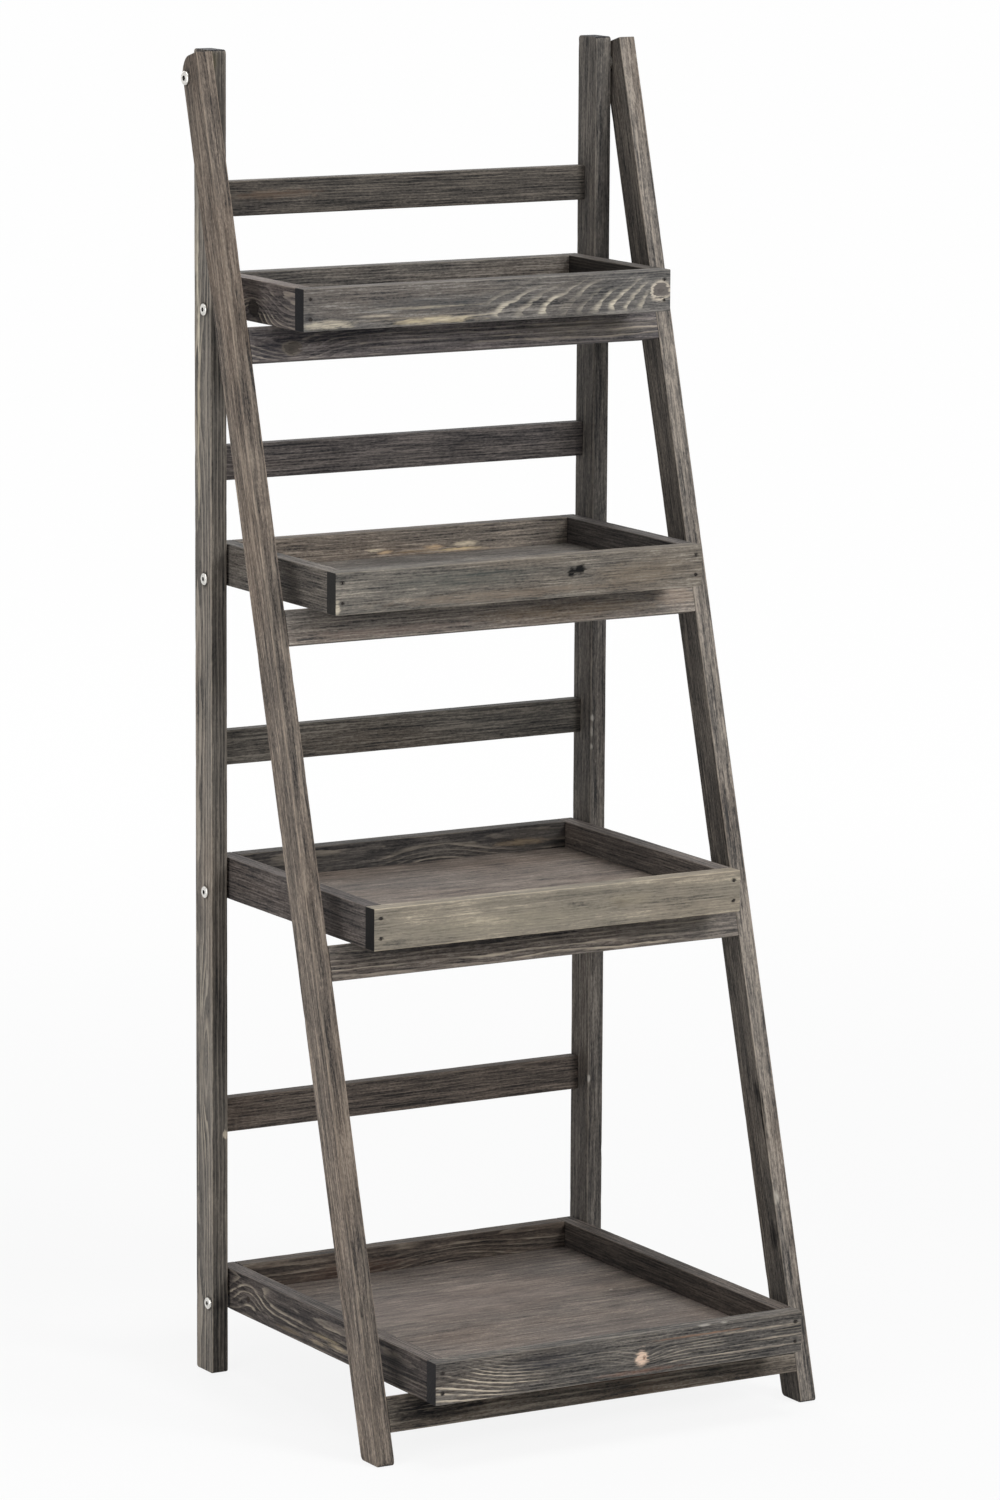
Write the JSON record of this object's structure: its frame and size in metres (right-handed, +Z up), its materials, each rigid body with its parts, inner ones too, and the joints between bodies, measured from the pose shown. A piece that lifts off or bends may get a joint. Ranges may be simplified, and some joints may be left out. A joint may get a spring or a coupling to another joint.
{
  "type": "step shelf",
  "caption": "Free-standing folding wooden step shelf with hinged ladder frames and open pivoting trays that get deeper towards the floor.",
  "frame": {"origin": "on the floor, under the middle of the shelf's footprint", "axes": "+Z up, +Y towards the upright rear legs, +X to the right when seen from the front"},
  "size_m": [0.5062, 0.454, 1.335],
  "materials": {
    "rear_leg_left": "washed and brushed, matte",
    "rear_leg_right": "washed and brushed, matte",
    "back_rail_1": "washed and brushed, matte",
    "back_rail_2": "washed and brushed, matte",
    "back_rail_3": "washed and brushed, matte",
    "back_rail_4": "washed and brushed, matte",
    "hinge_bolts": "zinc plated, dull",
    "hinge_washers": "zinc plated",
    "front_leg_left": "washed and brushed, matte",
    "front_leg_right": "washed and brushed, matte",
    "front_rail_1": "washed and brushed, matte",
    "front_rail_2": "washed and brushed, matte",
    "front_rail_3": "washed and brushed, matte",
    "front_rail_4": "washed and brushed, matte",
    "tray_1_front_board": "washed and brushed, matte",
    "tray_1_rear_board": "washed and brushed, matte",
    "tray_1_left_board": "washed and brushed, matte",
    "tray_1_right_board": "washed and brushed, matte",
    "tray_1_panel": "thin washed finish",
    "tray_1_nails": "zinc plated, dull",
    "tray_1_pivot_bolts": "zinc plated, dull",
    "tray_1_pivot_washers": "matte",
    "tray_2_front_board": "washed and brushed, matte",
    "tray_2_rear_board": "washed and brushed, matte",
    "tray_2_left_board": "washed and brushed, matte",
    "tray_2_right_board": "washed and brushed, matte",
    "tray_2_panel": "thin washed finish",
    "tray_2_nails": "zinc plated, dull",
    "tray_2_pivot_bolts": "zinc plated, dull",
    "tray_2_pivot_washers": "matte",
    "tray_3_front_board": "washed and brushed, matte",
    "tray_3_rear_board": "washed and brushed, matte",
    "tray_3_left_board": "washed and brushed, matte",
    "tray_3_right_board": "washed and brushed, matte",
    "tray_3_panel": "thin washed finish",
    "tray_3_nails": "zinc plated, dull",
    "tray_3_pivot_bolts": "zinc plated, dull",
    "tray_3_pivot_washers": "matte",
    "tray_4_front_board": "washed and brushed, matte",
    "tray_4_rear_board": "washed and brushed, matte",
    "tray_4_left_board": "washed and brushed, matte",
    "tray_4_right_board": "washed and brushed, matte",
    "tray_4_panel": "thin washed finish",
    "tray_4_nails": "zinc plated, dull",
    "tray_4_pivot_bolts": "zinc plated, dull",
    "tray_4_pivot_washers": "matte"
  },
  "bodies": {
    "rear_frame": {"rear_leg_left": "rear_leg_left", "rear_leg_right": "rear_leg_right", "back_rail_1": "back_rail_1", "back_rail_2": "back_rail_2", "back_rail_3": "back_rail_3", "back_rail_4": "back_rail_4", "hinge_bolts": "hinge_bolts", "hinge_washers": "hinge_washers"},
    "front_frame": {"front_leg_left": "front_leg_left", "front_leg_right": "front_leg_right", "front_rail_1": "front_rail_1", "front_rail_2": "front_rail_2", "front_rail_3": "front_rail_3", "front_rail_4": "front_rail_4"},
    "tray_1": {"tray_1_front_board": "tray_1_front_board", "tray_1_rear_board": "tray_1_rear_board", "tray_1_left_board": "tray_1_left_board", "tray_1_right_board": "tray_1_right_board", "tray_1_panel": "tray_1_panel", "tray_1_nails": "tray_1_nails", "tray_1_pivot_bolts": "tray_1_pivot_bolts", "tray_1_pivot_washers": "tray_1_pivot_washers"},
    "tray_2": {"tray_2_front_board": "tray_2_front_board", "tray_2_rear_board": "tray_2_rear_board", "tray_2_left_board": "tray_2_left_board", "tray_2_right_board": "tray_2_right_board", "tray_2_panel": "tray_2_panel", "tray_2_nails": "tray_2_nails", "tray_2_pivot_bolts": "tray_2_pivot_bolts", "tray_2_pivot_washers": "tray_2_pivot_washers"},
    "tray_3": {"tray_3_front_board": "tray_3_front_board", "tray_3_rear_board": "tray_3_rear_board", "tray_3_left_board": "tray_3_left_board", "tray_3_right_board": "tray_3_right_board", "tray_3_panel": "tray_3_panel", "tray_3_nails": "tray_3_nails", "tray_3_pivot_bolts": "tray_3_pivot_bolts", "tray_3_pivot_washers": "tray_3_pivot_washers"},
    "tray_4": {"tray_4_front_board": "tray_4_front_board", "tray_4_rear_board": "tray_4_rear_board", "tray_4_left_board": "tray_4_left_board", "tray_4_right_board": "tray_4_right_board", "tray_4_panel": "tray_4_panel", "tray_4_nails": "tray_4_nails", "tray_4_pivot_bolts": "tray_4_pivot_bolts", "tray_4_pivot_washers": "tray_4_pivot_washers"}
  },
  "joints": [
    {"name": "front_frame_hinge", "type": "hinge", "parent": "rear_frame", "child": "front_frame", "pos_m": [0, 0.202, 1.308], "axis": [1, 0, 0], "range_deg": [0, 15.6]},
    {"name": "tray_1_pivot", "type": "hinge", "parent": "rear_frame", "child": "tray_1", "pos_m": [0, 0.205, 1.0795], "axis": [-1, 0, 0], "range_deg": [0, 70]},
    {"name": "tray_2_pivot", "type": "hinge", "parent": "rear_frame", "child": "tray_2", "pos_m": [0, 0.205, 0.811], "axis": [-1, 0, 0], "range_deg": [0, 71]},
    {"name": "tray_3_pivot", "type": "hinge", "parent": "rear_frame", "child": "tray_3", "pos_m": [0, 0.205, 0.4945], "axis": [-1, 0, 0], "range_deg": [0, 73]},
    {"name": "tray_4_pivot", "type": "hinge", "parent": "rear_frame", "child": "tray_4", "pos_m": [0, 0.2, 0.072], "axis": [-1, 0, 0], "range_deg": [0, 69]}
  ]
}
